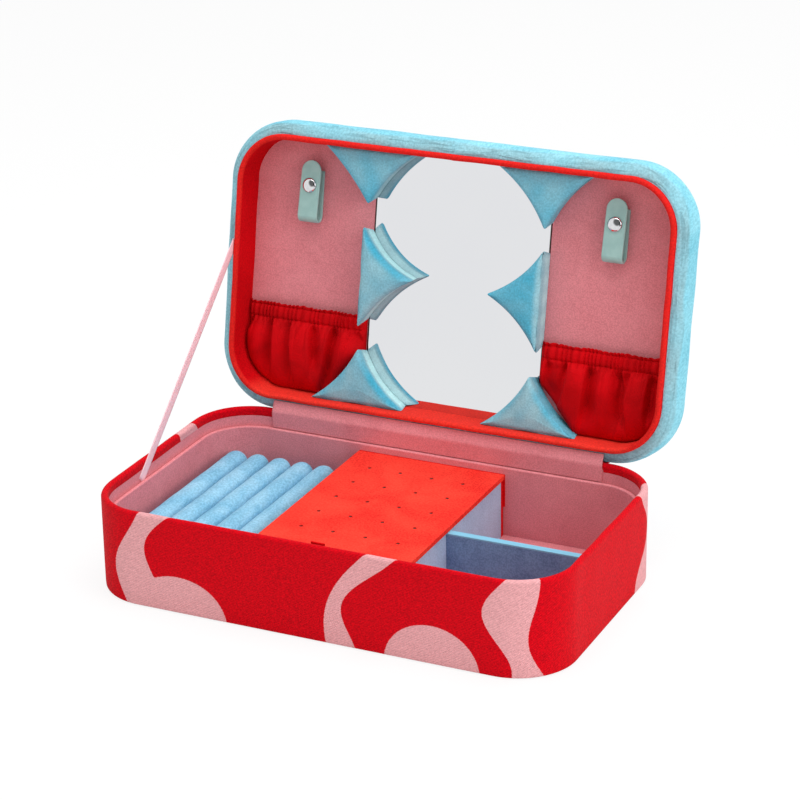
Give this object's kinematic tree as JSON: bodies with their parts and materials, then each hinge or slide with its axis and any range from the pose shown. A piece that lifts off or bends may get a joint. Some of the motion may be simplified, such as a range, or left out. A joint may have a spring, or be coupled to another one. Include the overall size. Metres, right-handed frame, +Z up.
{
  "type": "jewelry box",
  "caption": "Soft fabric jewelry box with a hinged padded lid, mirror, snap straps, gathered pockets, ring rolls, divided bays and a lift-up earring flap.",
  "frame": {"origin": "centre of the underside of the base", "axes": "+X to the right seen from the front, +Y to the back where the lid is hinged, +Z up"},
  "size_m": [0.285, 0.2208, 0.2215],
  "materials": {
    "cover_cloth": "red and pink embroidered cloth",
    "board": "grey paper board",
    "pink_suede": "pink suede cloth",
    "red_suede": "red suede cloth",
    "blue_velvet": "pale blue velvet",
    "plush": "pale blue plush",
    "red_cloth": "red gathered cloth",
    "elastic": "red elastic",
    "padding": "soft foam",
    "mint_leather": "mint leather",
    "snap_metal": "polished",
    "mirror": "silvered glass",
    "backing_card": "card",
    "pink_ribbon": "pale pink woven ribbon"
  },
  "bodies": {
    "base": {"base_cover": "cover_cloth", "base_wall": "board", "base_band": "pink_suede", "base_liner": "pink_suede", "bottom_sheet": "pink_suede", "floor_board": "board", "floor_liner": "pink_suede", "partition_left": "red_suede", "partition_right": "blue_velvet", "flap_spine": "red_suede", "flap_tape": "red_suede", "cross_divider": "blue_velvet", "ring_tray": "blue_velvet", "ring_roll_1": "blue_velvet", "ring_roll_2": "blue_velvet", "ring_roll_3": "blue_velvet", "ring_roll_4": "blue_velvet", "ring_roll_5": "blue_velvet", "hinge_inner": "pink_suede", "hinge_outer": "red_suede", "stay_ribbon": "pink_ribbon"},
    "lid": {"lid_cover": "plush", "lid_foam": "padding", "lid_wall": "board", "lid_board": "board", "lid_collar": "red_suede", "lid_panel_left": "pink_suede", "lid_panel_right": "pink_suede", "mirror_glass": "mirror", "mirror_backing": "backing_card", "point_top_left": "blue_velvet", "point_top_right": "blue_velvet", "point_bottom_left": "blue_velvet", "point_bottom_right": "blue_velvet", "point_side_left": "blue_velvet", "point_side_right": "blue_velvet", "pocket_left": "red_cloth", "pocket_right": "red_cloth", "pocket_elastic_left": "elastic", "pocket_elastic_right": "elastic", "strap_back_left": "mint_leather", "strap_back_right": "mint_leather", "snap_stud_left": "snap_metal", "snap_stud_right": "snap_metal"},
    "flap": {"flap_core": "board", "flap_cover": "red_suede", "flap_lining": "red_suede"},
    "pull_tab": {"pull_tab": "red_cloth"},
    "strap_left": {"strap_leaf_left": "mint_leather", "snap_cap_left": "snap_metal", "snap_socket_left": "snap_metal"},
    "strap_right": {"strap_leaf_right": "mint_leather", "snap_cap_right": "snap_metal", "snap_socket_right": "snap_metal"}
  },
  "joints": [
    {"name": "lid_hinge", "type": "hinge", "parent": "base", "child": "lid", "pos_m": [0, 0.08225, 0.0579], "axis": [-1, 0, 0], "range_deg": [-100.8, 0], "deforming": ["hinge_inner", "hinge_outer", "stay_ribbon"]},
    {"name": "flap_hinge", "type": "hinge", "parent": "base", "child": "flap", "pos_m": [0, 0.07525, 0.041], "axis": [-1, 0, 0], "range_deg": [0, 95]},
    {"name": "tab_fold", "type": "hinge", "parent": "flap", "child": "pull_tab", "pos_m": [0, -0.06905, 0.0411], "axis": [-1, 0, 0], "range_deg": [0, 75]},
    {"name": "strap_left_fold", "type": "hinge", "parent": "lid", "child": "strap_left", "pos_m": [-0.095, 0.11235, 0.16765], "axis": [1, 0, 0], "range_deg": [0, 150]},
    {"name": "strap_right_fold", "type": "hinge", "parent": "lid", "child": "strap_right", "pos_m": [0.095, 0.11235, 0.16765], "axis": [1, 0, 0], "range_deg": [0, 150]}
  ]
}
